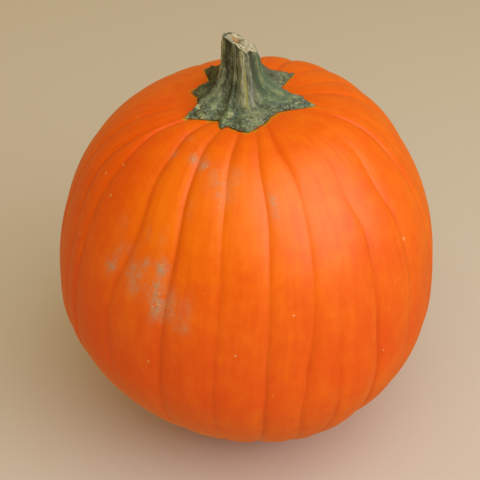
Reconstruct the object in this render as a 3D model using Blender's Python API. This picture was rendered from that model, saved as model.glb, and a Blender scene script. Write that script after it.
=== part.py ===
"""A carving pumpkin: the ribbed fruit, and the cut stem that spreads over its crown.

Metres, +Z up. The pumpkin stands on its flattened blossom end, and the origin is on the
surface under it, below the middle of its widest level. Directions round the fruit are in
degrees, anticlockwise seen from above, and 0 is the front, -Y.
"""

import math

import bmesh
import bpy

# The fruit's body, measured over the crests of its ribs
BELLY_RADIUS = 0.132  # half the greatest width
BELLY_HEIGHT = 0.120  # of the widest level above the surface it stands on
CROWN_RISE = 0.158  # from the widest level to the top, before the hollow round the stem
CROWN_POWER = 2.22  # an ellipse has 2, and a higher number has squarer shoulders
CROWN_SHIFT = 0.0028  # of the top, towards +X
HOLLOW_DEPTH = 0.018  # round the stem
HOLLOW_RADIUS = 0.060
BASE_DROP = 0.136  # from the widest level to where the base would end without its flat
BASE_TAPER = 0.34  # how much narrower than an ellipse the base becomes, as a share
BASE_SWELL = 0.26  # how much fuller the lower flank is towards +X, as a share of its radius
FLAT_ROUNDING = 0.004  # height over which the base turns into the flat
SCAR_RADIUS = 0.014  # of the blossom's scar, in the middle of the flat
SCAR_DEPTH = 0.003

# The ribs: the direction of the groove where each starts, that groove's depth as a share,
# and how much higher than the others the rib stands
GROOVES = (
    (6, 1.0, 0), (20, 1.0, 0.0015), (41, 0.9, 0), (58, 0.7, 0), (75, 0.8, 0), (82, 0.6, 0),
    (105, 1.0, 0), (121, 0.9, 0.001), (138, 0.7, 0.0015), (157, 1.0, 0), (174, 0.8, 0),
    (190, 0.9, 0), (207, 0.8, -0.001), (222, 1.0, 0), (239, 0.8, 0), (254, 0.9, 0),
    (269, 0.8, 0), (278, 0.9, 0), (293, 0.7, 0), (300, 1.0, 0), (320, 1.0, 0), (335, 1.0, 0),
    (351, 1.0, 0),
)  # fmt: skip
RIB_HEIGHT = 0.0022  # of a rib's crest over the edge of its groove, on the shoulder
BELLY_SHARE = 0.6  # of that height, at the widest level
BASE_SHARE = 0.4  # and on the base
SHOULDER_RISE = 0.09  # from the widest level to the shoulder
USUAL_RIB = 16.0  # degrees: a narrower rib stands lower
RIB_ROUNDING = 0.7  # a low number has full, flat-topped ribs
CREASE_DEPTH = 0.0009  # of the groove's own narrow line
CREASE_WIDTH = 1.0  # degrees, to either side
CROWN_FADE = (0.016, 0.070)  # radii between which the ribs grow to their full height
BASE_FADE = (0.048, 0.085)
RIB_STEPS = (0.0, 0.18, 0.5, 0.82)  # where the edges across a rib lie
FRUIT_RINGS = 36

# The stem, from the middle of the star that it spreads into
STEM_X = -0.0025
STEM_CLEARANCE = 0.0006  # between the stem and the fruit under it
STALK_RADIUS = 0.0098  # at the cut
STALK_SPREAD = 0.0065  # added to that at the bottom
SPREAD_HEIGHT = 0.016  # over which the stalk's own spread fades
SKIRT_RADIUS = 0.0285  # of the star between its arms
SKIRT_HEIGHT = 0.0072  # over which the arms rise into the stalk
SKIRT_EDGE = 0.0012  # thickness of the star's edge
CUT_HEIGHT = 0.0435  # of the cut's middle above the fruit
CUT_FALL_X = 0.44  # how steeply the cut falls towards +X
CUT_FALL_Y = 0.25  # and towards +Y
CUT_DISH = 0.0015  # depth of the dried pith in the cut's middle
ARM_POINT = 1.5  # over 1 draws an arm out to a point between hollow sides
RIDGE_WIDTH = 13.0  # degrees
TWIST_HEIGHT = 0.018  # over which a ridge turns from its arm to its place on the stalk

# Each arm's direction and reach, half its width, and its ridge's direction and height at the cut
ARMS = (
    (300, 0.0440, 20, 287, 0.0016),
    (254, 0.0360, 18, 250, 0.0009),
    (211, 0.0520, 22, 215, 0.0013),
    (174, 0.0460, 20, 178, 0.0012),
    (136, 0.0510, 22, 135, 0.0014),
    (81, 0.0475, 24, 56, 0.0018),
    (35, 0.0320, 15, 25, 0.0008),
    (5, 0.0405, 18, 358, 0.0017),
    (339, 0.0375, 13, 330, 0.0007),
)
STEM_SEGMENTS = 72
STEM_RINGS = 27
CUT_RINGS = 3  # of those rings, how many lie on the cut
UNDER_RINGS = 5  # and how many lie on the underside, with its middle
SIDE_CROWDING = 1.7  # over 1 gathers the rings of the side towards the star

# Base colour, metallic and roughness
RIND = ((0.80, 0.125, 0.010), 0.0, 0.38)
STEM_WOOD = ((0.16, 0.17, 0.085), 0.0, 0.75)


def bearing(x, y):
    """The direction of a point round the fruit, in degrees from the front."""
    return (math.degrees(math.atan2(y, x)) + 90) % 360


def place(radius, direction):
    angle = math.radians(direction - 90)
    return radius * math.cos(angle), radius * math.sin(angle)


def turn_between(a, b):
    """The angle from a to b in degrees, the short way round."""
    return (b - a + 180) % 360 - 180


def smooth_step(value, low, high):
    share = min(max((value - low) / (high - low), 0), 1)
    return share * share * (3 - 2 * share)


def rib_width(number):
    return (GROOVES[(number + 1) % len(GROOVES)][0] - GROOVES[number][0]) % 360


def rib_at(direction):
    """The number of the rib in this direction, and how far across it the direction lies."""
    shares = [(direction - groove[0]) % 360 / rib_width(i) for i, groove in enumerate(GROOVES)]
    number = min(range(len(GROOVES)), key=shares.__getitem__)
    return number, shares[number]


def crease(direction, number, share):
    """Depth of the narrow line in the groove nearest to this direction."""
    nearest = number if share < 0.5 else (number + 1) % len(GROOVES)
    away = turn_between(GROOVES[nearest][0], direction) / CREASE_WIDTH
    return CREASE_DEPTH * GROOVES[nearest][1] * math.exp(-(away**2))


def relief(direction, radius, height, fade):
    """How far the surface stands over the body's general form: under it in the grooves."""
    number, share = rib_at(direction)
    lobe = math.sin(math.pi * share) ** RIB_ROUNDING
    narrow = min(rib_width(number) / USUAL_RIB, 1)
    strength = BELLY_SHARE + (1 - BELLY_SHARE) * smooth_step(height, 0, SHOULDER_RISE)
    strength -= (BELLY_SHARE - BASE_SHARE) * smooth_step(-height, 0, SHOULDER_RISE)
    over = GROOVES[number][2] * lobe - RIB_HEIGHT * strength * (1 - narrow * lobe)
    over -= crease(direction, number, share) * strength
    return over * smooth_step(radius, *fade)


def crown_height(radius):
    """Height of the crown over the widest level, without its ribs."""
    over = CROWN_RISE * max(1 - (radius / BELLY_RADIUS) ** CROWN_POWER, 0) ** (1 / CROWN_POWER)
    return over - HOLLOW_DEPTH * math.exp(-((radius / HOLLOW_RADIUS) ** 2))


def crown_point(polar, direction):
    radius = BELLY_RADIUS * abs(math.sin(polar)) ** (2 / CROWN_POWER)
    height = crown_height(radius)
    outward = 1 + relief(direction, radius, height, CROWN_FADE) / math.hypot(radius, height)
    x, y = place(radius * outward, direction)
    return x + CROWN_SHIFT * (height / CROWN_RISE) ** 2, y, height * outward


def flatten(height):
    """The height of a point of the base once the fruit has flattened where it lay."""
    over = height + BELLY_HEIGHT
    if over < FLAT_ROUNDING:
        over = max(over + FLAT_ROUNDING, 0) ** 2 / (4 * FLAT_ROUNDING)
    return over - BELLY_HEIGHT


def base_point(polar, direction):
    share = abs(math.cos(polar))
    radius = BELLY_RADIUS * abs(math.sin(polar)) * (1 - BASE_TAPER * share**2)
    height = -BASE_DROP * share
    outward = 1 + relief(direction, radius, height, BASE_FADE) / math.hypot(radius, height)
    fullness = share**2 * (1 - share**2 / 2)
    swell = 1 + BASE_SWELL * fullness * math.sin(math.radians(direction))
    x, y = place(radius * outward * swell, direction)
    scar = SCAR_DEPTH * max(1 - (radius / SCAR_RADIUS) ** 2, 0)
    return x, y, flatten(height * outward) + scar


def fruit_direction(number):
    """The direction of one of the mesh's edges round the fruit: they gather at the grooves."""
    rib, step = divmod(number % (len(GROOVES) * len(RIB_STEPS)), len(RIB_STEPS))
    return GROOVES[rib][0] + RIB_STEPS[step] * rib_width(rib)


def shape_fruit(mesh):
    segments = len(GROOVES) * len(RIB_STEPS)
    for vertex in mesh.verts:
        polar = math.acos(min(max(vertex.co.z, -1), 1))
        direction = fruit_direction(round(bearing(vertex.co.x, vertex.co.y) / 360 * segments))
        point = crown_point if vertex.co.z > 0 else base_point
        x, y, height = point(polar, direction)
        vertex.co = (x, y, height + BELLY_HEIGHT)


def fruit_top(x, y):
    """Height of the fruit's surface at a place on the crown."""
    radius = math.hypot(x - CROWN_SHIFT, y)
    height = crown_height(radius)
    return BELLY_HEIGHT + height + relief(bearing(x - CROWN_SHIFT, y), radius, height, CROWN_FADE)


def star_radius(direction):
    """Reach of the stem's star in this direction."""
    reach = SKIRT_RADIUS
    for arm, arm_reach, half_width, _, _ in ARMS:
        share = max(1 - abs(turn_between(arm, direction)) / half_width, 0)
        reach += (arm_reach - SKIRT_RADIUS) * share**ARM_POINT
    return reach


def stalk_radius(direction, height):
    radius = STALK_RADIUS + STALK_SPREAD * math.exp(-height / SPREAD_HEIGHT)
    for arm, _, _, ridge_at, ridge in ARMS:
        turn = turn_between(ridge_at, arm) * math.exp(-height / TWIST_HEIGHT)
        away = turn_between(ridge_at + turn, direction) / RIDGE_WIDTH
        radius += ridge * math.exp(-(away**2))
    return radius


def side_radius(direction, height):
    stalk = stalk_radius(direction, height)
    return stalk + (star_radius(direction) - stalk) * math.exp(-height / SKIRT_HEIGHT)


def cut_level(x, y):
    middle = fruit_top(STEM_X, 0) + CUT_HEIGHT
    return middle - CUT_FALL_X * (x - STEM_X) - CUT_FALL_Y * y


def cut_point(direction, share):
    """A point on the cut, at this share of the way from its middle to its rim."""
    x, y = place(side_radius(direction, CUT_HEIGHT) * share, direction)
    return x + STEM_X, y, cut_level(x + STEM_X, y) - CUT_DISH * (1 - share**2)


def side_point(direction, share):
    """A point on the side, at this share of the way up from the star's edge to the cut."""
    rise = CUT_HEIGHT * share**SIDE_CROWDING
    x, y = place(side_radius(direction, rise), direction)
    low = fruit_top(x + STEM_X, y) + STEM_CLEARANCE + SKIRT_EDGE
    rim_x, rim_y, rim_level = cut_point(direction, 1)
    full_rise = rim_level - fruit_top(rim_x, rim_y) - STEM_CLEARANCE - SKIRT_EDGE
    return x + STEM_X, y, low + full_rise * share**SIDE_CROWDING


def under_point(direction, share):
    """A point on the underside, at this share of the way from its middle to the star's edge."""
    x, y = place(star_radius(direction) * share, direction)
    return x + STEM_X, y, fruit_top(x + STEM_X, y) + STEM_CLEARANCE


def shape_stem(mesh):
    side_rings = STEM_RINGS - CUT_RINGS - UNDER_RINGS
    for vertex in mesh.verts:
        ring = round(math.acos(min(max(vertex.co.z, -1), 1)) / math.pi * STEM_RINGS)
        direction = bearing(vertex.co.x, vertex.co.y)
        if ring <= CUT_RINGS:
            vertex.co = cut_point(direction, ring / CUT_RINGS)
        elif ring <= CUT_RINGS + side_rings:
            vertex.co = side_point(direction, 1 - (ring - CUT_RINGS) / side_rings)
        else:
            vertex.co = under_point(direction, (STEM_RINGS - ring) / (UNDER_RINGS - 1))


def clear_scene():
    for old in list(bpy.data.objects):
        bpy.data.objects.remove(old, do_unlink=True)


def make_material(name, finish):
    colour, metallic, roughness = finish
    material = bpy.data.materials.new(name)
    material.use_nodes = True
    shader = material.node_tree.nodes["Principled BSDF"]
    shader.inputs["Base Color"].default_value = (*colour, 1)
    shader.inputs["Metallic"].default_value = metallic
    shader.inputs["Roughness"].default_value = roughness
    return material


def make_piece(name, segments, rings, shape, finish, collection):
    """A sphere of this many segments and rings, moved into shape."""
    mesh = bmesh.new()
    bmesh.ops.create_uvsphere(mesh, u_segments=segments, v_segments=rings, radius=1)
    shape(mesh)
    bmesh.ops.recalc_face_normals(mesh, faces=mesh.faces)
    data = bpy.data.meshes.new(name)
    mesh.to_mesh(data)
    mesh.free()
    data.shade_smooth()
    data.materials.append(make_material(name, finish))
    piece = bpy.data.objects.new(name, data)
    collection.objects.link(piece)
    return piece


def main():
    clear_scene()
    pumpkin = bpy.data.collections.new("carving_pumpkin")
    bpy.context.scene.collection.children.link(pumpkin)
    fruit_segments = len(GROOVES) * len(RIB_STEPS)
    make_piece("fruit", fruit_segments, FRUIT_RINGS, shape_fruit, RIND, pumpkin)
    make_piece("stem", STEM_SEGMENTS, STEM_RINGS, shape_stem, STEM_WOOD, pumpkin)


main()
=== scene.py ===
# %% [markdown]
# # Dressing a carving pumpkin
#
# A pumpkin is two grown things: the ribbed fruit, and the woody stem that clasps its crown.
# Plain solids of both already exist, with the right sizes. They are loaded here as a frame,
# and each is covered by a finer mesh with the skin, scuffs and wood of the real one.
# Everything is in metres, +Z is up, and the pumpkin is looked at from the front, -Y.

# %% Load the plain solids
import math
import bmesh
import bpy
import numpy as np
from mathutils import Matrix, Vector


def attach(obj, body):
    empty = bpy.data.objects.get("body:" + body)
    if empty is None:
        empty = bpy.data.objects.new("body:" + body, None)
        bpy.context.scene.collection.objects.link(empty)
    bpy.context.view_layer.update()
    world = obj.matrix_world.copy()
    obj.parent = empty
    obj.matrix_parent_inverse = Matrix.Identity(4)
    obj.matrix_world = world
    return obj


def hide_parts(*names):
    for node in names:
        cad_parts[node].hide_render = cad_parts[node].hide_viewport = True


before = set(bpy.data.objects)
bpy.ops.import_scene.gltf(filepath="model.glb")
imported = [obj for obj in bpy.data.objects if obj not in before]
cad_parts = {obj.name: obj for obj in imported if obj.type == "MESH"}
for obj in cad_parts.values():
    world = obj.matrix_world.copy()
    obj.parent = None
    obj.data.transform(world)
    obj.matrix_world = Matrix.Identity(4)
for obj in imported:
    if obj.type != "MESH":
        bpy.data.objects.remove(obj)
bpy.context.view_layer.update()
print("solids:", ", ".join(sorted(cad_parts)))

# %% [markdown]
# ## The form of the fruit
#
# A pumpkin's outline is close to an ellipse. Its shoulders are a little squarer, and its base
# narrows and was pressed flat where it lay. One could sculpt that, or draw half the outline and
# spin it. Here each vertex of a sphere is moved by a few short formulas instead, because then the
# ribs, the stem and the colours can all ask the same formulas where the surface is.
# Directions round the fruit are degrees from the front, anticlockwise seen from above.

# %% Sizes of the fruit
BELLY_RADIUS = 0.132
BELLY_HEIGHT = 0.120  # of the widest level above the floor
CROWN_RISE = 0.158
CROWN_POWER = 2.22  # 2 is an ellipse, and more has squarer shoulders
CROWN_SHIFT = 0.0028  # of the top, towards +X
HOLLOW_DEPTH = 0.018  # round the stem
HOLLOW_RADIUS = 0.060
BASE_DROP = 0.136
BASE_TAPER = 0.34
BASE_SWELL = 0.26  # how much fuller the lower flank is towards +X
FLAT_ROUNDING = 0.004
SCAR_RADIUS = 0.014
SCAR_DEPTH = 0.003


def place(radius, direction):
    angle = np.radians(direction - 90)
    return radius * np.cos(angle), radius * np.sin(angle)


def bearing(x, y):
    return (np.degrees(np.arctan2(y, x)) + 90) % 360


def turn_between(start, end):
    """The angle from start to end in degrees, the short way round."""
    return (end - start + 180) % 360 - 180


def smooth_step(value, low, high):
    share = np.clip((value - low) / (high - low), 0, 1)
    return share * share * (3 - 2 * share)


def bell(away, width):
    """1 in the middle, and falling smoothly on both sides, to about a third one width away."""
    return np.exp(-((away / width) ** 2))


def crown_height(radius):
    """Height of the crown over the widest level."""
    inside = np.clip(1 - (radius / BELLY_RADIUS) ** CROWN_POWER, 0, 1)
    return CROWN_RISE * inside ** (1 / CROWN_POWER) - HOLLOW_DEPTH * bell(radius, HOLLOW_RADIUS)


def section(polar):
    """Half of the outline: radius and height for an angle that runs from the top to the base."""
    share = np.abs(np.cos(polar))
    crown_radius = BELLY_RADIUS * np.abs(np.sin(polar)) ** (2 / CROWN_POWER)
    base_radius = BELLY_RADIUS * np.abs(np.sin(polar)) * (1 - BASE_TAPER * share**2)
    above = polar < math.pi / 2
    radius = np.where(above, crown_radius, base_radius)
    return radius, np.where(above, crown_height(crown_radius), -BASE_DROP * share)


def flatten(height):
    """Where a height ends up once the base is pressed flat."""
    over = height + BELLY_HEIGHT
    pressed = np.clip(over + FLAT_ROUNDING, 0, None) ** 2 / (4 * FLAT_ROUNDING)
    return np.where(over < FLAT_ROUNDING, pressed, over) - BELLY_HEIGHT


TOP_RADIUS = 0.04  # where the crown is about highest, outside the hollow
print("crown", round(float(crown_height(TOP_RADIUS) + BELLY_HEIGHT), 4), "m over the floor")

# %% [markdown]
# ## The ribs
#
# Each rib is a long cushion between two grooves, and no two are of one width. A groove is a wide
# valley with a narrow crease at its bottom. Some are bold all the way, and some show only for
# part of it. Drawing them as waves of equal length would look like a gear, so each groove has its
# own direction here, and a boldness at each of five levels. "Down" is an angle like a latitude:
# 0 is the top, 90 the widest level, and 180 the middle of the base.

# %% Where the grooves are, and how bold
DOWN_LEVELS = (24, 42, 62, 85, 112)

# Each groove's direction, and its boldness at each level
GROOVES = (
    (6, 0.6, 0.65, 0.5, 0.8, 0.8),
    (20, 0.7, 0.3, 0.4, 0.8, 0.5),
    (28, 0, 0, 0, 0.3, 0.6),
    (42, 0, 0.1, 0.8, 1.3, 1.2),
    (58, 0, 0.4, 0.6, 0.4, 0.3),
    (75, 0.3, 0.5, 0.3, 0.35, 0.3),
    (82, 0.1, 0.3, 0.3, 0.4, 0.4),
    (105, 0.6, 0.8, 0.9, 0.9, 0.8),
    (121, 0.4, 0.7, 0.8, 0.8, 0.6),
    (138, 0.3, 0.6, 0.9, 0.9, 0.7),
    (157, 0.8, 0.9, 0.9, 1.0, 0.8),
    (174, 0.5, 0.8, 0.8, 0.7, 0.5),
    (190, 0.2, 0.7, 1.0, 1.0, 0.8),
    (207, 0.2, 0.5, 0.8, 0.9, 0.7),
    (222, 0.05, 0.15, 0.7, 1.0, 0.9),
    (239, 0, 0.1, 0.5, 0.8, 0.6),
    (254, 0, 0.15, 0.5, 0.8, 0.7),
    (269, 0.05, 0.15, 0.5, 0.7, 0.6),
    (278, 0.3, 0.4, 0.4, 0.5, 0.4),
    (293, 0.4, 0.6, 0.4, 0.4, 0.3),
    (300, 0.5, 0.85, 0.6, 0.4, 0.3),
    (320, 0.75, 0.6, 0.75, 0.4, 0.15),
    (335, 0.7, 0.85, 1.0, 0.8, 0.4),
    (351, 0.7, 0.5, 0.35, 0.35, 0.3),
)  # fmt: skip
GROOVE_AT, *BOLDNESS = np.array(GROOVES).T
RIB_WIDTH = (np.roll(GROOVE_AT, -1) - GROOVE_AT) % 360
print(len(GROOVES), "ribs, from", RIB_WIDTH.min(), "to", RIB_WIDTH.max(), "degrees wide")

# %% The relief between them
VALLEY_DEPTH = 0.0021
VALLEY_POWER = 4.0  # more makes a flatter rib and a sharper valley
CREASE_DEPTH = 0.0006
CREASE_WIDTH = 0.0022

# The direction of each swelling, how far down it is, its half width and half length, and its
# height in metres
SWELLINGS = (
    (31, 95, 11, 40, 0.0018),
    (90, 92, 25, 20, 0.0013),
    (148, 45, 24, 25, 0.0030),
    (222, 45, 30, 25, -0.0018),
    (285, 48, 20, 12, 0.0018),
    (300, 108, 25, 14, -0.0012),
)
CROWN_FADE = (0.020, 0.064)  # radii between which the relief grows, on the crown
BASE_FADE = (0.048, 0.085)  # and on the base


def rib_at(direction):
    """The number of the rib in each direction, and how far across it the direction lies."""
    number = np.searchsorted(GROOVE_AT, direction % 360, side="right") - 1
    return number % len(GROOVES), ((direction - GROOVE_AT[number]) % 360) / RIB_WIDTH[number]


def boldness(groove, down):
    """How bold these grooves are this far down."""
    level = np.interp(down, DOWN_LEVELS, np.arange(len(DOWN_LEVELS)))
    above = np.minimum(level.astype(int), len(DOWN_LEVELS) - 2)
    table = np.array(BOLDNESS)
    upper = table[above, groove]
    return upper + (table[above + 1, groove] - upper) * (level - above)


def creases(direction, down, radius):
    """How deep the creases of the two grooves beside each point are there, from 0 to about 1."""
    rib, share = rib_at(direction)
    width = np.radians(RIB_WIDTH[rib]) * radius
    first = boldness(rib, down) * bell(share * width, CREASE_WIDTH)
    second = boldness((rib + 1) % len(GROOVES), down) * bell((1 - share) * width, CREASE_WIDTH)
    return first + second


def relief(direction, down, radius):
    """How far the surface stands over the fruit's general form."""
    rib, share = rib_at(direction)
    first = boldness(rib, down) * (1 - share) ** VALLEY_POWER
    second = boldness((rib + 1) % len(GROOVES), down) * share**VALLEY_POWER
    over = -VALLEY_DEPTH * (first + second) - CREASE_DEPTH * creases(direction, down, radius)
    for middle, level, half_width, half_length, swelling in SWELLINGS:
        aside = turn_between(middle, direction)
        over += swelling * bell(aside, half_width) * bell(down - level, half_length)
    fade = np.where(down < 90, smooth_step(radius, *CROWN_FADE), smooth_step(radius, *BASE_FADE))
    return over * fade


print("valleys", round(VALLEY_DEPTH + CREASE_DEPTH, 4), "m deep where a groove's boldness is 1")

# %% [markdown]
# ## Bends in the grooves
#
# A groove isn't a straight line from pole to pole. It swings aside where the fruit lay on a stone
# or grew faster, and near the stem all of them lean to the front, because the stem stands a
# little behind the place where the ribs meet.

# %% Bends
# A bend's groove, how far down it is, how far it turns aside, and how long it is, all in degrees
BENDS = (
    (6, 28, -1, 10),
    (6, 48, 1, 14),
    (20, 20, -2, 7),
    (20, 48, 0.5, 14),
    (20, 100, -3, 18),
    (42, 43, -2.5, 8),
    (42, 90, 1, 10),
    (42, 112, 1, 14),
    (58, 46, -3, 9),
    (293, 48, -4.5, 14),
    (300, 26, -3.5, 9),
    (300, 48, -1.5, 16),
    (320, 20, -7, 9),
    (320, 36, -1, 8),
    (320, 54, 1.5, 8),
    (320, 80, -4, 14),
    (335, 21, -4, 10),
    (335, 54, 1, 10),
    (351, 25, -2, 10),
    (351, 66, 0.5, 10),
    (174, 60, 2.5, 20),
    (222, 100, -3, 18),
    (254, 50, 2.5, 16),
)
RIBS_MEET = -0.003  # along Y, from the stem
MEETING_START = (0, 0.03)  # radii between which that lean grows
MEETING_FADE = (0.045, 0.090)  # and between which it fades


def bend_at(direction, down):
    """How many degrees the grooves turn aside here. Between two grooves it is shared out."""
    rib, share = rib_at(direction)
    next_rib = (rib + 1) % len(GROOVES)
    turn = np.zeros_like(direction)
    for groove, level, degrees, length in BENDS:
        number = list(GROOVE_AT).index(groove)
        part = np.where(rib == number, 1 - share, 0) + np.where(next_rib == number, share, 0)
        turn += degrees * bell(down - level, length) * part
    return turn


def fruit_top(x, y):
    """Height over the floor of the fruit's general form at a place on the crown."""
    return BELLY_HEIGHT + crown_height(np.hypot(x - CROWN_SHIFT, y))


print(len(BENDS), "bends")

# %% [markdown]
# ## The star of the stem
#
# The stem's foot spreads over the crown as a ragged star. The fruit's skin needs to know where
# that star ends, because it is greener along its edge, so the star comes before the fruit. No two
# of its arms are alike: each has its own reach, and it widens more on one side than on the other.

# %% The star's outline
STEM_X = -0.0025
STAR_ROOT = 0.029  # the star's radius between two arms

# Each arm's direction and reach, how many degrees it spreads, clockwise and then anticlockwise,
# and its point: 1 has straight sides, and a higher number draws it out between hollow ones
ARMS = (
    (5, 0.042, 44, 34, 1),
    (80, 0.049, 27, 26, 1.6),
    (135, 0.051, 18, 10, 1.6),
    (173, 0.044, 12, 12, 1.6),
    (211, 0.051, 21, 18, 1.6),
    (256, 0.035, 26, 13, 1),
    (302, 0.044, 10, 44, 1.6),
    (340, 0.040, 14, 20, 1.6),
)


def star_radius(direction):
    """Reach of the star in these directions."""
    reach = np.full(np.shape(direction), STAR_ROOT)
    for arm, arm_reach, before, after, point in ARMS:
        away = turn_between(arm, direction)
        share = np.clip(1 - np.abs(away) / np.where(away < 0, before, after), 0, 1)
        reach = np.maximum(reach, STAR_ROOT + (arm_reach - STAR_ROOT) * share**point)
    return reach


print("the star has", len(ARMS), "arms and reaches", max(arm[1] for arm in ARMS), "m")

# %% [markdown]
# ## From a sphere to a fruit
#
# A sphere made of rings and segments has its edges running from pole to pole, as ribs do. Moving
# its edges together at the grooves gives the sharp creases enough faces, and leaves few where a
# rib is smooth. The mesh then keeps what the skin's colours ask for: where light and shade are
# painted on it, where it is scuffed or creased, how near the star is, and a coordinate that is
# stretched along the ribs, as a pumpkin's streaks are.

# %% Smooth unevenness, and a sphere to start from
WAVES = 16
WAVE_COUNTS = (0.5, 1.2)  # how many of a wave's turns fit in the size asked for


def ripple(points, size, seed):
    """Smooth unevenness at these points, about -1 to 1, with lumps of this size.

    It is a sum of waves that cross each other.
    """
    random = np.random.default_rng(seed)
    total = np.zeros(len(points))
    for _ in range(WAVES):
        way = random.normal(size=3)
        turns = points @ way / np.linalg.norm(way) / size * random.uniform(*WAVE_COUNTS)
        total += np.sin(2 * math.pi * (turns + random.uniform()))
    return total / math.sqrt(WAVES)


def rolled_sphere(name, segments, rings):
    """A unit sphere as a mesh object, and its points.

    It is a flat grid, rolled up and drawn together at its ends.
    """
    sheet = bmesh.new()
    bmesh.ops.create_grid(sheet, x_segments=segments, y_segments=rings, size=1)
    for vertex in sheet.verts:
        around = math.pi * (vertex.co.x + 1)
        polar = math.pi * (1 - vertex.co.y) / 2
        reach = math.sin(polar)
        vertex.co = (reach * math.cos(around), reach * math.sin(around), math.cos(polar))
    bmesh.ops.remove_doubles(sheet, verts=sheet.verts, dist=1e-6)
    bmesh.ops.recalc_face_normals(sheet, faces=sheet.faces)
    mesh = bpy.data.meshes.new(name)
    sheet.to_mesh(mesh)
    sheet.free()
    mesh.shade_smooth()
    piece = bpy.data.objects.new(name, mesh)
    bpy.context.scene.collection.objects.link(piece)
    points = np.empty(len(mesh.vertices) * 3, np.float32)
    mesh.vertices.foreach_get("co", points)
    return piece, points.reshape(-1, 3).astype(float)


def set_points(piece, points):
    piece.data.vertices.foreach_set("co", points.astype(np.float32).ravel())
    piece.data.update()


def set_values(piece, name, values):
    """Keeps a number, or a vector, for each vertex under this name."""
    kind, field = ("FLOAT_VECTOR", "vector") if values.ndim == 2 else ("FLOAT", "value")
    attribute = piece.data.attributes.new(name, kind, "POINT")
    attribute.data.foreach_set(field, values.astype(np.float32).ravel())


print("unevenness is a sum of", WAVES, "waves")

# %% The fruit's mesh
STEPS_PER_RIB = 19
FRUIT_RINGS = 206
CROWDING = 0.125  # of the edges at the grooves: at 1 / (2 * pi) they would meet there

steps = np.arange(len(GROOVES) * STEPS_PER_RIB + 1)
across = steps % STEPS_PER_RIB / STEPS_PER_RIB
across -= CROWDING * np.sin(2 * math.pi * across)
ribs = (steps // STEPS_PER_RIB) % len(GROOVES)
edge_directions = GROOVE_AT[ribs] + across * RIB_WIDTH[ribs]
edge_directions += 360 * (steps == steps[-1])

fruit, unit = rolled_sphere("fruit_skin", len(steps) - 1, FRUIT_RINGS)
polar = np.arccos(np.clip(unit[:, 2], -1, 1))
turn = bearing(unit[:, 0], unit[:, 1]) / 360 * (len(steps) - 1)
direction = edge_directions[np.round(turn).astype(int) % (len(steps) - 1)] % 360
radius, height = section(polar)
print("fruit:", len(unit), "points")

# %% Shape the fruit
LUMP_HEIGHT = 0.0004
LUMP_SIZE = 0.08
LUMP_FADE = (0.03, 0.07)  # radii between which the lumps grow
WANDER = 0.4  # degrees that a groove strays, on long waves
WANDER_SIZE = 0.12
WOBBLE = 0.12  # and on short ones
WOBBLE_SIZE = 0.03
WANDER_FADE = (0.03, 0.08)

down = np.degrees(polar)
x, y = place(radius, direction)
rough = np.column_stack((x, y, height))
lumps = ripple(rough, LUMP_SIZE, 3) * LUMP_HEIGHT * smooth_step(radius, *LUMP_FADE)
outward = 1 + (relief(direction, down, radius) + lumps) / np.hypot(radius, height)
aside = WANDER * ripple(rough, WANDER_SIZE, 8) + WOBBLE * ripple(rough, WOBBLE_SIZE, 18)
wander = bend_at(direction, down) + aside * smooth_step(radius, *WANDER_FADE)
below = (height < 0) * (height / BASE_DROP) ** 2
swell = 1 + BASE_SWELL * below * (1 - below / 2) * np.sin(np.radians(direction))
x, y = place(radius * swell, direction + wander)
lean = smooth_step(radius, *MEETING_START) * (1 - smooth_step(radius, *MEETING_FADE))
y += RIBS_MEET * lean * (height > 0)
height = np.where(height > 0, crown_height(np.hypot(x, y)), height)
x, y, height = x * outward, y * outward, height * outward
x += CROWN_SHIFT * (height > 0) * (height / CROWN_RISE) ** 2
scar = SCAR_DEPTH * np.clip(1 - (radius / SCAR_RADIUS) ** 2, 0, 1) * (height < 0)
skin_points = np.column_stack((x, y, flatten(height) + scar + BELLY_HEIGHT))
set_points(fruit, skin_points)
print("fruit spans", (skin_points.max(0) - skin_points.min(0)).round(4))

# %% Painted light and shade on the skin, in patches
# The direction of each patch, how far down it is, its half width and half length in degrees,
# and how much lighter it is painted: below 0 it is painted shade
LIGHT_AND_SHADE_PATCHES = (
    (-10, 36, 40, 16, 0.5),
    (-30, 60, 24, 16, 0.3),
    (44, 54, 22, 16, -0.3),
    (-82, 80, 36, 50, -1.0),
    (-34, 48, 8, 9, 0.6),
    (-52, 42, 12, 12, -0.4),
    (20, 100, 60, 12, 0.3),
    (-10, 66, 16, 8, -0.4),
    (120, 80, 40, 24, 0.3),
    (200, 70, 30, 30, -0.4),
    (260, 60, 24, 20, 0.3),
)


def patches(rows):
    """How strong the patches are at each point of the skin."""
    total = np.zeros_like(direction)
    for middle, level, half_width, half_length, strength in rows:
        aside = turn_between(middle, direction)
        total += strength * bell(aside, half_width) * bell(down - level, half_length)
    return total


# Painted shade, growing below the shoulder; the skin is also a little darker round the stem
light_shade_and_tone = patches(LIGHT_AND_SHADE_PATCHES) - 0.2 * (1 - smooth_step(down, 20, 40)) - 0.8 * smooth_step(down, 62, 95)
set_values(fruit, "light_shade_and_tone", light_shade_and_tone)
print(len(LIGHT_AND_SHADE_PATCHES), "patches")

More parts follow.
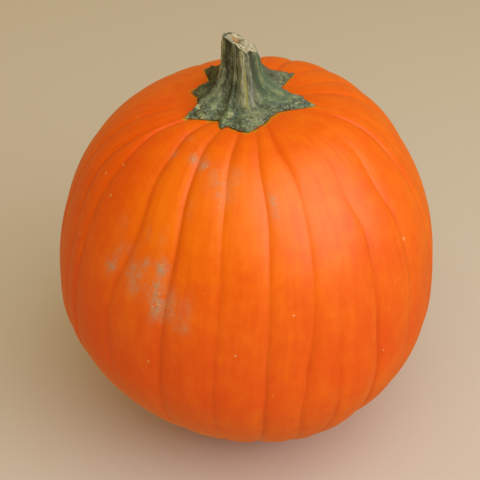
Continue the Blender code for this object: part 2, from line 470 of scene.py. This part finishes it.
# %% Where the skin is scuffed
# The same for each scuff, with how worn it is
SCUFFS = (
    (-44, 66, 1.8, 2.4, 1.2),
    (-44, 61, 1.5, 2.8, 0.6),
    (-40, 60, 2.4, 1.8, 0.4),
    (-37, 64, 2.0, 3.0, 0.7),
    (-34, 67, 2.3, 3.4, 0.9),
    (-33, 61, 1.5, 1.4, 1.0),
    (-28, 61, 1.9, 2.2, 1.4),
    (-28, 67, 2.2, 3.0, 1.0),
    (-27, 72, 2.0, 3.8, 0.9),
    (-23, 70, 2.4, 4.2, 0.8),
    (-18, 70, 1.7, 4.2, 0.5),
    (-19, 75, 2.4, 1.4, 0.5),
    (-46, 54, 2.0, 2.4, 0.3),
    (-36, 54, 1.5, 2.8, 0.3),
    (-30, 54, 1.5, 2.8, 0.3),
    (-39, 30, 2.0, 2.0, 0.7),
    (-28, 29, 2.0, 2.0, 1.2),
    (-22, 30, 3.0, 2.6, 1.0),
    (-37, 23, 5.0, 1.5, 0.4),
    (-22, 44, 1.2, 2.5, 0.5),
    (-14, 34, 5.0, 4.5, 0.5),
    (-10, 39, 4.0, 3.0, 0.5),
    (-5, 33, 4.0, 4.0, 0.5),
    (9, 42, 1.8, 5.0, 0.8),
)
MOST_WORN = 1.4  # where scuffs overlap
set_values(fruit, "scuffed", np.minimum(patches(SCUFFS), MOST_WORN))
print(len(SCUFFS), "scuffs")

# %% What the skin's colours need to know
STREAK_STRETCH = 6
FAR_AWAY = 1.0  # metres: the base is never near the star

star_away = np.hypot(x - STEM_X, y) - star_radius(bearing(x - STEM_X, y))
strand = np.column_stack((*place(BELLY_RADIUS, direction), skin_points[:, 2] / STREAK_STRETCH))
# How deep the creases are, for the painted shade in them
set_values(fruit, "crease", creases(direction, down, radius))
set_values(fruit, "star_away", np.where(height > 0, star_away, FAR_AWAY))
set_values(fruit, "strand", strand)
print("the skin comes within", star_away.min().round(4), "m of the star's edge")

# %% [markdown]
# ## The stem
#
# The stem was a thick vine, cut with a knife and dried. Ridges run down it and open into the arms
# of the star, its foot is lumpy and warty, and the cut is ragged. A loft through hand-drawn
# sections could make it, but ridges that turn on their way down are easier as a formula for the
# radius at each direction and height.

# %% The stalk and its ridges
STALK_RADIUS = 0.0094
STALK_SPREAD = 0.0078
SPREAD_HEIGHT = 0.018
STALK_LEAN = -0.0011  # of its top, towards +X
RIDGE_POINT = 1.4  # less is sharper
TWIST_HEIGHT = 0.018

# Each ridge's direction at the cut and at the foot, its half width, and its height at the cut
# and at the foot
RIDGES = (
    (282, 304, 12, 0.0019, 0.0044),
    (312, 322, 8, 0.0003, 0.0007),
    (332, 346, 8, 0.0004, 0.0014),
    (1, 8, 12, 0.0016, 0.0030),
    (26, 20, 8, 0.0009, 0.0012),
    (57, 84, 8, 0.0016, 0.0022),
    (84, 80, 16, 0.0006, 0.0022),
    (130, 135, 15, 0.0010, 0.0006),
    (176, 173, 17, 0.0012, 0.0018),
    (220, 211, 16, 0.0012, 0.0022),
    (250, 256, 13, 0.0010, 0.0016),
)


def ridges(direction, rise):
    """How far each ridge stands out there, one after the other."""
    grown = np.exp(-rise / TWIST_HEIGHT)
    for at_cut, at_foot, half_width, high_cut, high_foot in RIDGES:
        middle = at_cut + turn_between(at_cut, at_foot) * grown
        away = np.abs(turn_between(middle, direction)) / half_width
        yield (high_cut + (high_foot - high_cut) * grown) * np.exp(-(away**RIDGE_POINT))


def stalk_radius(direction, rise):
    spread = STALK_SPREAD * np.exp(-rise / SPREAD_HEIGHT)
    return STALK_RADIUS + spread + sum(ridges(direction, rise))


print(len(RIDGES), "ridges")

# %% The skirt over the crown, and the cut
SKIRT_HEIGHT = 0.0062  # where the star reaches no further than SKIRT_REACH
SKIRT_REACH = 0.030
SKIRT_GAIN = 0.30
SKIRT_EDGE = 0.0016
SUNK = 0.0008  # how far the star's underside lies in the fruit
CUT_HEIGHT = 0.0435  # of a level cut, before it is tilted
CUT_LEVEL = 0.0425  # of the rim over the crown, on average
CUT_SLOPE = 0.0058  # how much higher than that the rim stands on its high side
HIGH_SIDE = 280

# A notch in the rim and a splinter on it: the direction, the width in degrees, and the height
NICKS = ((20, 6, -0.0016), (329, 20, 0.0010))


def side_radius(direction, rise):
    """Radius of the stem's side: the star's at the foot, and the stalk's further up."""
    star = star_radius(direction)
    skirt = SKIRT_HEIGHT + SKIRT_GAIN * (star - SKIRT_REACH)
    stalk = stalk_radius(direction, rise)
    return stalk + (star - stalk) * np.exp(-rise / skirt)


def rim_height(direction):
    """Height of the cut's rim over the crown."""
    rim = CUT_LEVEL + CUT_SLOPE * np.cos(np.radians(direction - HIGH_SIDE))
    return rim + sum(tall * bell(turn_between(at, direction), width) for at, width, tall in NICKS)


print("the cut is", round(2 * CUT_SLOPE, 4), "m higher on one side")

# %% The stem's mesh
SIDE_CROWDING = 1.6
STEM_SEGMENTS = 320
STEM_RINGS = 200
CUT_RINGS = 26
UNDER_RINGS = 8
UNDERCUT = 0.95  # the underside's size, so that the star's edge overhangs it

stem, unit = rolled_sphere("stem_wood", STEM_SEGMENTS, STEM_RINGS)
ring = np.round(np.arccos(np.clip(unit[:, 2], -1, 1)) / math.pi * STEM_RINGS)
direction = bearing(unit[:, 0], unit[:, 1])
side_rings = STEM_RINGS - CUT_RINGS - UNDER_RINGS
on_cut = ring <= CUT_RINGS
on_side = ~on_cut & (ring <= CUT_RINGS + side_rings)
climb = np.clip(1 - (ring - CUT_RINGS) / side_rings, 0, 1) ** SIDE_CROWDING
under = (STEM_RINGS - ring) / (UNDER_RINGS - 1) * UNDERCUT
inward = np.select([on_cut, on_side], [ring / CUT_RINGS, 1.0], under)
print("stem:", len(unit), "points")

# %% Shape the stem
CUT_DISH = 0.0012
DISH_POWER = 1.5  # of the dish's slope
TIP_THINNING = 0.6  # how much thinner the star's edge is at the tips of its arms, as a share
TIPS = (0.034, 0.050)  # the radii between which the arms thin

rise = CUT_HEIGHT * climb
x, y = place(side_radius(direction, rise) * inward, direction)
foot_level = fruit_top(x + STEM_X, y)
crown_level = fruit_top(np.array(STEM_X), 0)
rim_level = crown_level + rim_height(direction)
thin = 1 - TIP_THINNING * smooth_step(np.hypot(x, y), *TIPS)
side_level = foot_level + SKIRT_EDGE * thin - SUNK
side_level += (rim_level - side_level) * climb
cut_middle = crown_level + CUT_LEVEL - CUT_DISH
cut_level = cut_middle + (rim_level - cut_middle) * inward**DISH_POWER
level = np.select([on_cut, on_side], [cut_level, side_level], foot_level - SUNK)
x += STEM_X + STALK_LEAN * climb
stem_points = np.column_stack((x, y, level))
print("the cut's middle is", round(float(cut_middle), 4), "m over the floor")

# %% Knobs on the foot
FOOT_HEIGHT = 0.009  # over which the foot's roughness fades

# The direction, the reach, the size and the height of each knob on the foot
KNOBS = (
    (346, 0.0296, 0.0032, 0.0026),
    (0, 0.0345, 0.0030, 0.0012),
    (12, 0.0325, 0.0034, 0.0014),
    (24, 0.0290, 0.0030, 0.0014),
    (330, 0.0300, 0.0030, 0.0010),
    (38, 0.0270, 0.0030, 0.0010),
    (312, 0.0330, 0.0032, 0.0012),
    (68, 0.0330, 0.0032, 0.0010),
    (84, 0.0370, 0.0034, 0.0012),
    (255, 0.0300, 0.0030, 0.0010),
)


def near(at, reach, size, middle=STEM_X):
    """1 at this direction and reach from the stem's middle, seen from above, and less round it."""
    at_x, at_y = place(reach, at)
    return bell(np.hypot(x - middle - at_x, y - at_y), size)


low = np.exp(-rise / FOOT_HEIGHT) * on_side
knobs = sum(high * near(at, reach, size) for at, reach, size, high in KNOBS) * on_side
print("knobs up to", knobs.max().round(4), "m high")

# %% Warts, fibres and torn edges
FIBRE_RADIUS = 0.011
FIBRE_STRETCH = 7
FLUTE_DEPTH = 0.0004
WART_HEIGHT = 0.0006
LUMP_LIFT = 0.0008
TEAR_HEIGHT = 0.0006
CHIP_DEPTH = 0.0009

fibres = np.column_stack((*place(FIBRE_RADIUS, direction), stem_points[:, 2] / FIBRE_STRETCH))
flutes = ripple(fibres, 0.0035, 5) * 0.6 + ripple(fibres, 0.0016, 15) * 0.4
flutes *= FLUTE_DEPTH * on_side
warts = ripple(stem_points, 0.0032, 6) * WART_HEIGHT + ripple(stem_points, 0.008, 9) * LUMP_LIFT
warts *= low * thin
chips = smooth_step(climb, 0.9, 1) * CHIP_DEPTH * (1 + ripple(fibres, 0.006, 12)) * on_side
out_x, out_y = place(flutes + warts + knobs * 0.6 - chips, direction)
torn = np.where(on_cut, 1.0, smooth_step(climb, 0.92, 1) * on_side)
tears = ripple(stem_points, 0.005, 7) * TEAR_HEIGHT * torn
stem_points += np.column_stack((out_x, out_y, warts * 0.7 + knobs + tears))
set_points(stem, stem_points)
print("stem spans", (stem_points.max(0) - stem_points.min(0)).round(4))

# %% Painted light and shade on the wood, in streaks
# Each streak's direction at the cut and at the foot, its half width, and how light it is painted
LIGHT_AND_SHADE_STREAKS = (
    (308, 358, 15, -0.9),
    (3, 8, 7, 0.6),
    (344, 352, 7, -0.5),
    (37, 78, 8, -2.4),
    (56, 84, 3, 1.2),
    (22, 18, 5, 0.2),
    (78, 95, 14, -0.5),
    (110, 110, 12, -0.6),
    (155, 154, 12, -0.6),
    (198, 192, 12, -0.6),
    (235, 235, 20, -0.9),
    (268, 278, 9, -0.8),
)


def streak(at_cut, at_foot, half_width):
    """1 along a line that runs down the wood from the cut to the foot, and less beside it."""
    middle = at_cut + turn_between(at_cut, at_foot) * np.exp(-rise / TWIST_HEIGHT)
    return bell(turn_between(middle, direction), half_width) * on_side


def stretch(start, full, fading, end):
    """1 between the heights full and fading on the stem, and 0 outside start and end."""
    return smooth_step(rise, start, full) * (1 - smooth_step(rise, fading, end))


# Painted highlights on the knobs: each is lightened by its height
KNOB_LIGHT = 0.0013  # metres of a knob's height that lighten it by 1
light = sum(strength * streak(*where) for *where, strength in LIGHT_AND_SHADE_STREAKS) + knobs / KNOB_LIGHT
# Painted highlight along the crest of the left arm
light += 0.9 * streak(284, 304, 5) * smooth_step(rise, 0.001, 0.005)
# Painted shade high on the stalk's left front
light -= 0.3 * streak(318, 326, 20) * smooth_step(rise, 0.022, 0.038)
print(len(LIGHT_AND_SHADE_STREAKS), "streaks")

# %% Single marks on the side
# Painted highlights on one arm's crest and on the palest knob, and a paler front edge of the foot
pale_highlight = 0.8 * streak(252, 318, 3.5) * stretch(0.0025, 0.006, 0.012, 0.024)
pale_highlight += near(346, 0.0300, 0.0022) * on_side
pale_highlight += 0.5 * streak(310, 314, 20) * low
# A yellow line and a grey one beside it
sunned = streak(12, 6, 2.8) * stretch(0.004, 0.010, 0.024, 0.034)
ashen = streak(43, 355, 4.5) * stretch(0.006, 0.012, 0.024, 0.034)
# Painted shade on the arms at the back and on the foot at the front right, and where the wood is
# still green
shaded = 1.2 * streak(238, 232, 40) + 0.4 * streak(135, 135, 34) + 0.5 * streak(45, 45, 14) * low
leafy = streak(80, 70, 34) + 0.6 * streak(340, 344, 24) * low
print("the crest is palest at", pale_highlight.max().round(2))

# %% Marks on the cut
core = near(215, 0.004, 0.0045, STEM_X + STALK_LEAN) * on_cut
left_end = bell(turn_between(275, direction), 34) * smooth_step(inward, 0.2, 0.8)
bark = (smooth_step(inward, 0.86, 1.0) * 0.6 + left_end * 0.6) * on_cut
kept = {
    "light": light,
    "pale_highlight": pale_highlight,
    "sunned": sunned,
    "ashen": ashen,
    "shaded": shaded,
    "leafy": leafy,
    "core": core,
    "bark": bark,
    "low": low,
    "cut": np.where(on_cut, 1.0, 0.0),
    "strand": fibres,
}
for name, values in kept.items():
    set_values(stem, name, values)
print("the wood keeps", ", ".join(kept))

# %% [markdown]
# ## Sums on shader sockets
#
# A material is a web of nodes, and its sums are easier to read as sums. The small class below
# stands for a socket: adding or multiplying it adds the Math node that does so. Colours are mixed
# by a node of their own, since a Math node would turn them grey.

# %% Sums
class Wire:
    """An output socket of a material, with the sums that are done on it."""

    def __init__(self, paint, socket):
        self.paint = paint
        self.socket = socket

    def _math(self, operation, first, second):
        return self.paint.add("ShaderNodeMath", {"operation": operation}, {0: first, 1: second})

    def __add__(self, other):
        return self._math("ADD", self, other)

    def __radd__(self, other):
        return self._math("ADD", other, self)

    def __sub__(self, other):
        return self._math("SUBTRACT", self, other)

    def __rsub__(self, other):
        return self._math("SUBTRACT", other, self)

    def __mul__(self, other):
        return self._math("MULTIPLY", self, other)

    def __rmul__(self, other):
        return self._math("MULTIPLY", other, self)


print("sums on sockets are ready")

# %% Paint
class Paint:
    """A material while its nodes are being added."""

    def __init__(self, name):
        self.material = bpy.data.materials.new(name)
        self.material.use_nodes = True
        self.tree = self.material.node_tree
        self.shader = self.tree.nodes["Principled BSDF"]

    def feed(self, socket, value):
        if isinstance(value, Wire):
            self.tree.links.new(value.socket, socket)
        else:
            socket.default_value = value

    def add(self, kind, settings, inputs, output=0):
        """Adds a node, with its settings first and then its sockets' values or wires."""
        node = self.tree.nodes.new(kind)
        for name, value in settings.items():
            setattr(node, name, value)
        for name, value in inputs.items():
            self.feed(node.inputs[name], value)
        return Wire(self, node.outputs[output])

    def mix(self, share, first, second):
        """The first colour, turning into the second as share goes from 0 to 1."""
        colours = {0: share, 6: first, 7: second}
        return self.add("ShaderNodeMix", {"data_type": "RGBA"}, colours, 2)

    def ramp(self, value, low, high, start=0.0, end=1.0):
        """Goes smoothly from start to end while value goes from low to high."""
        limits = {"Value": value, "From Min": low, "From Max": high, "To Min": start, "To Max": end}
        return self.add("ShaderNodeMapRange", {"interpolation_type": "SMOOTHSTEP"}, limits)

    def noise(self, where, size, detail=3.0, roughness=0.5):
        """Noise from 0 to 1, with lumps of this size in metres."""
        inputs = {"Vector": where, "Scale": 1 / size, "Detail": detail, "Roughness": roughness}
        return self.add("ShaderNodeTexNoise", {}, inputs)

    def value(self, name, output=2):
        """What the mesh keeps under this name: output 1 reads it as a vector."""
        return self.add("ShaderNodeAttribute", {"attribute_name": name}, {}, output)

    def place(self):
        return self.add("ShaderNodeTexCoord", {}, {}, 3)

    def bump(self, height, depth, normal=None):
        """Raises the surface by this many metres where height is 1."""
        inputs = {"Height": height, "Distance": depth, "Strength": 1.0}
        if normal:
            inputs["Normal"] = normal
        return self.add("ShaderNodeBump", {}, inputs)

    def finish(self, colour, roughness, normal):
        self.feed(self.shader.inputs["Base Color"], colour)
        self.feed(self.shader.inputs["Roughness"], roughness)
        self.feed(self.shader.inputs["Normal"], normal)
        return self.material


def linear(level):
    """A screen's level, 0 to 255, as the linear value that shaders use."""
    share = level / 255
    return share / 12.92 if share < 0.04045 else ((share + 0.055) / 1.055) ** 2.4


def rgb(*levels):
    """A colour from its red, green and blue levels on a screen."""
    return (*(linear(level) for level in levels), 1)


print("mid grey is", round(rgb(128, 128, 128)[0], 3), "in a shader")

# %% [markdown]
# ## The rind
#
# The skin is a strong orange, thinly waxed, so its gloss is wide and soft. Shade is painted on it,
# redder and darker, down in the creases and as a thin contact shadow along the star's edge, and
# light and shade are painted in wide patches. It turns yellow-green where it meets the stem, and
# carries dry, corky scuffs where leaves and vines rubbed it. Nothing here is a picture: each mark
# is noise, kept to a region.

# %% Rind
DEEP_ORANGE = rgb(226, 81, 2)
PALE_ORANGE = rgb(244, 123, 4)
CREASE_SHADE = rgb(200, 70, 6)
RIM_GREEN = rgb(184, 152, 36)
CONTACT_SHADOW = rgb(84, 56, 20)
CORK = rgb(182, 148, 120)
SPECK = rgb(226, 176, 120)
WAX_IOR = 1.32


def make_rind():
    paint = Paint("rind")
    here = paint.place()
    strand = paint.value("strand", 1)
    crease = paint.value("crease")
    streaks = paint.noise(strand, 0.006, 4.0, 0.65)
    clouds = paint.noise(here, 0.05, 3.0)
    mottles = paint.noise(here, 0.014, 4.0, 0.65)
    # Painted light and shade in patches, with the skin's own clouds, streaks and mottles
    light_shade_and_tone = paint.value("light_shade_and_tone") + (clouds - 0.5) * 0.7
    light_shade_and_tone = light_shade_and_tone + (streaks - 0.5) * 1.7 + (mottles - 0.5) * 1.8
    colour = paint.mix(paint.ramp(light_shade_and_tone, -1.4, 1.4), DEEP_ORANGE, PALE_ORANGE)
    # Painted shade, redder and darker, down in the creases
    colour = paint.mix(crease * 0.35, colour, CREASE_SHADE)
    star_away = paint.value("star_away")
    greened = paint.ramp(paint.noise(here, 0.005, 3.0), 0.4, 0.6)
    colour = paint.mix(paint.ramp(star_away, 0.0006, 0.0030, 0.8, 0.0) * greened, colour, RIM_GREEN)
    # Painted contact shadow on the skin along the star's edge
    colour = paint.mix(paint.ramp(star_away, 0.0, 0.0006, 0.6, 0.0), colour, CONTACT_SHADOW)
    worn = paint.value("scuffed")
    rubbed = paint.add("ShaderNodeMapping", {}, {"Vector": here, "Scale": (1, 1, 0.45)})
    grit = paint.noise(rubbed, 0.002, 4.0, 0.8)
    film = worn * paint.ramp(paint.noise(rubbed, 0.005, 3.0), 0.38, 0.58, 0.08, 0.4)
    scuff = film + paint.ramp(grit + worn * 0.25, 0.6, 0.86) * 0.6
    colour = paint.mix(scuff, colour, CORK)
    specks = paint.ramp(paint.noise(here, 0.004, 0.0), 0.87, 0.89) * 0.7
    specks = specks + paint.ramp(paint.noise(here, 0.0015, 1.0) + worn * 0.16, 0.8, 0.86) * 0.8
    colour = paint.mix(specks, colour, SPECK)
    roughness = paint.ramp(streaks, 0.2, 0.8, 0.36, 0.44) + scuff * 0.3
    normal = paint.bump(paint.noise(here, 0.016, 2.0, 0.4), 0.0005)
    normal = paint.bump(paint.noise(here, 0.0018, 2.0), 0.00006, normal)
    normal = paint.bump(scuff, 0.00012, normal)
    paint.shader.inputs["IOR"].default_value = WAX_IOR
    return paint.finish(colour, roughness, normal)


rind = make_rind()
print("rind:", len(rind.node_tree.nodes), "nodes")

# %% [markdown]
# ## The stem's wood
#
# Dried pumpkin stem is grey-green, with fine threads running up it. Its ridges are paler and
# straw-coloured and its valleys dark, partly in its own colour and partly as painted light and
# shade, with painted highlights on its knobs and one crest and painted shade on the arms at the
# back. The foot keeps more of its green and is speckled.
# The cut shows a cream ring round a tan, corky core.

# %% Wood
GREY_GREEN = rgb(100, 108, 82)
STRAW_HIGHLIGHT = rgb(158, 160, 124)
VALLEY_SHADE = rgb(46, 49, 34)
SUN_YELLOW = rgb(146, 146, 60)
ASH = rgb(134, 136, 146)
FOOT_GREEN = rgb(92, 118, 78)
FOOT_BLUE = rgb(84, 108, 98)
WHITE_DOT = rgb(192, 198, 176)
YELLOW_DOT = rgb(156, 158, 72)
DARK_PIT = rgb(42, 50, 38)
SHADE_BROWN = rgb(50, 46, 36)
LEAF_GREEN = rgb(76, 112, 80)
HIGHLIGHT_GREEN = rgb(178, 186, 142)
LICHEN = rgb(134, 154, 112)
CREAM = rgb(206, 204, 184)
TAN = rgb(184, 148, 98)
CRACK = rgb(80, 80, 60)
WOOD_ROUGHNESS = 0.72


def make_wood():
    paint = Paint("stem_wood")
    here = paint.place()
    strand = paint.value("strand", 1)
    low = paint.value("low")
    threads = paint.noise(strand, 0.0011, 4.0, 0.75)
    blotches = paint.noise(here, 0.005, 4.0, 0.65)
    # Painted light and shade from the streaks and knobs, mixed with the wood's own threads and
    # blotches
    light = paint.value("light") + (threads - 0.5) * 7.5 + (blotches - 0.5) * 3.0
    colour = paint.mix(paint.ramp(light, 0.0, 1.2), GREY_GREEN, STRAW_HIGHLIGHT)
    colour = paint.mix(paint.ramp(light, 0.0, -1.2), colour, VALLEY_SHADE)
    colour = paint.mix(paint.value("leafy") * 0.6, colour, LEAF_GREEN)
    colour = paint.mix(paint.value("ashen") * 0.6, colour, ASH)
    sunned = paint.ramp(paint.value("sunned") + threads * 0.6, 0.55, 1.0, 0.0, 0.8)
    colour = paint.mix(sunned, colour, SUN_YELLOW)
    foot = paint.mix(paint.ramp(paint.noise(here, 0.004, 2.0), 0.42, 0.6), FOOT_GREEN, FOOT_BLUE)
    colour = paint.mix(paint.ramp(low, 0.1, 0.75, 0.0, 0.65), colour, foot)
    # Painted highlights where the light value is strongest, on the knobs and one crest
    colour = paint.mix(paint.ramp(paint.value("light"), 0.7, 2.2, 0.0, 0.7), colour, STRAW_HIGHLIGHT)
    spotted = paint.ramp(low + (blotches - 0.5) * 1.8, 0.15, 0.85)
    spotted = spotted * paint.ramp(paint.noise(here, 0.012, 1.0), 0.4, 0.62, 0.45, 1.0)
    cloudy = paint.noise(here, 0.0065, 2.0, 0.6)
    skirt = paint.ramp(low, 0.1, 0.6)
    colour = paint.mix(paint.ramp(cloudy, 0.52, 0.36) * skirt * 0.7, colour, DARK_PIT)
    colour = paint.mix(paint.ramp(cloudy, 0.5, 0.68) * skirt * 0.6, colour, LICHEN)
    moss = paint.noise(here, 0.0032, 3.0, 0.7)
    colour = paint.mix(paint.ramp(moss, 0.48, 0.34) * spotted * 0.8, colour, DARK_PIT)
    colour = paint.mix(paint.ramp(moss, 0.54, 0.7) * spotted * 0.45, colour, WHITE_DOT)
    dots = paint.noise(here, 0.0013, 3.0, 0.7)
    colour = paint.mix(paint.ramp(dots, 0.5, 0.32) * spotted * 0.95, colour, DARK_PIT)
    colour = paint.mix(paint.ramp(dots, 0.52, 0.7) * spotted * 0.85, colour, WHITE_DOT)
    yellow = paint.ramp(paint.noise(here, 0.0021, 2.0, 0.5), 0.6, 0.72) * spotted * 0.5
    colour = paint.mix(yellow, colour, YELLOW_DOT)
    # Painted shade on the arms at the back and on the foot
    colour = paint.mix(paint.value("shaded") * 0.6, colour, SHADE_BROWN)
    # Painted highlights along one arm's crest and on a knob
    pale_highlight = paint.value("pale_highlight") + (threads - 0.5) * 1.2 + (moss - 0.5) * 1.5
    colour = paint.mix(paint.ramp(pale_highlight, 0.3, 1.0, 0.0, 0.8), colour, HIGHLIGHT_GREEN)
    core = paint.ramp(paint.value("core") + (blotches - 0.5) * 0.8, 0.35, 0.75)
    sawn = paint.mix(core, CREAM, TAN)
    cracks = paint.ramp(paint.noise(here, 0.0025, 3.0, 0.6), 0.48, 0.38, 0.0, 0.8)
    sawn = paint.mix(cracks, sawn, CRACK)
    sawn = paint.mix(paint.value("bark"), sawn, GREY_GREEN)
    colour = paint.mix(paint.value("cut"), colour, sawn)
    normal = paint.bump(threads, 0.0009)
    normal = paint.bump(dots, 0.0009, normal)
    return paint.finish(colour, WOOD_ROUGHNESS, normal)


wood = make_wood()
print("wood:", len(wood.node_tree.nodes), "nodes")

# %% Give the pieces their finish
fruit.data.materials.append(rind)
stem.data.materials.append(wood)
for piece, node, slot in ((fruit, "fruit", "rind"), (stem, "stem", "stem")):
    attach(piece, "root")
    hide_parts(node)
print("dressed:", fruit.name, "and", stem.name)

# %% [markdown]
# ## Floor, light and camera
#
# The floor is plain and pale. Two soft lamps on the right give the light: a large one high up, so
# each rib has a bright side and each crease a thin shadow, and a small one at the side. The skin is
# waxy, so it should also mirror a window. That is a third lamp, which is seen in the gloss and
# lights nothing, because the width of the highlight can then be chosen apart from the shadows.
# A dim, warm sky fills the rest. The camera looks down from in front with a long lens, from just
# under a metre away.

# %% Floor and lights
FLOOR_SIDE = 6.0
PALE_BEIGE = rgb(204, 200, 198)
FLOOR_ROUGHNESS = 0.9
WARM_GLOW = (1.0, 0.70, 0.20, 1)


def add_floor():
    plane = bmesh.new()
    bmesh.ops.create_grid(plane, x_segments=1, y_segments=1, size=FLOOR_SIDE / 2)
    mesh = bpy.data.meshes.new("floor")
    plane.to_mesh(mesh)
    plane.free()
    floor = bpy.data.objects.new("floor", mesh)
    bpy.context.scene.collection.objects.link(floor)
    paint = Paint("floor")
    mesh.materials.append(paint.material)
    paint.shader.inputs["Base Color"].default_value = PALE_BEIGE
    paint.shader.inputs["Roughness"].default_value = FLOOR_ROUGHNESS
    floor.visible_glossy = False


def add_lamp(name, direction, height, distance, side, power, mirrored=False, lighting=True):
    """A square lamp that faces the pumpkin's middle, with its direction and its height in degrees.

    A mirrored lamp shows in the gloss, and a lighting one lights the matt colours.
    """
    lamp = bpy.data.lights.new(name, "AREA")
    lamp.size = side
    lamp.energy = power
    holder = bpy.data.objects.new(name, lamp)
    middle = Vector((0, 0, BELLY_HEIGHT))
    out_x, out_y = place(distance * math.cos(math.radians(height)), direction)
    holder.location = middle + Vector((out_x, out_y, distance * math.sin(math.radians(height))))
    holder.visible_glossy = mirrored
    holder.visible_diffuse = lighting
    holder.rotation_euler = (middle - holder.location).to_track_quat("-Z", "Y").to_euler()
    bpy.context.scene.collection.objects.link(holder)


def add_sky(strength):
    """An even, dim light from all round, as warm as the light that wooden walls give back."""
    world = bpy.data.worlds.new("sky")
    world.use_nodes = True
    background = world.node_tree.nodes["Background"]
    background.inputs["Color"].default_value = WARM_GLOW
    background.inputs["Strength"].default_value = strength
    bpy.context.scene.world = world


add_floor()
add_lamp("room", 28, 54, 1.9, 2.4, 29)
add_lamp("side", 60, 24, 1.6, 1.0, 5)
add_lamp("window", 58, 42, 1.6, 2.0, 41, mirrored=True, lighting=False)
add_sky(0.5)
print("lamps:", ", ".join(sorted(lamp.name for lamp in bpy.data.lights)))

# %% Camera
VIEW_HEIGHT = math.radians(37.8)
VIEW_DISTANCE = 0.924
LENS = 96.15
AIM_UP = 0.0212  # the view's middle, from the middle of the widest level
AIM_RIGHT = -0.0040
SENSOR_WIDTH = 36  # millimetres, like the lens

camera = bpy.data.cameras.new("camera")
camera.lens = LENS
camera.sensor_width = SENSOR_WIDTH
viewer = bpy.data.objects.new("camera", camera)
middle = Vector((0, 0, BELLY_HEIGHT))
backward = Vector((0, -math.cos(VIEW_HEIGHT), math.sin(VIEW_HEIGHT)))
viewer.location = middle + VIEW_DISTANCE * backward
upward = Vector((0, math.sin(VIEW_HEIGHT), math.cos(VIEW_HEIGHT)))
aim = middle + AIM_UP * upward + Vector((AIM_RIGHT, 0, 0))
viewer.rotation_euler = (aim - viewer.location).to_track_quat("-Z", "Y").to_euler()
bpy.context.scene.collection.objects.link(viewer)
bpy.context.scene.camera = viewer
bpy.context.scene.view_settings.view_transform = "Standard"
print("camera at", [round(value, 3) for value in viewer.location])
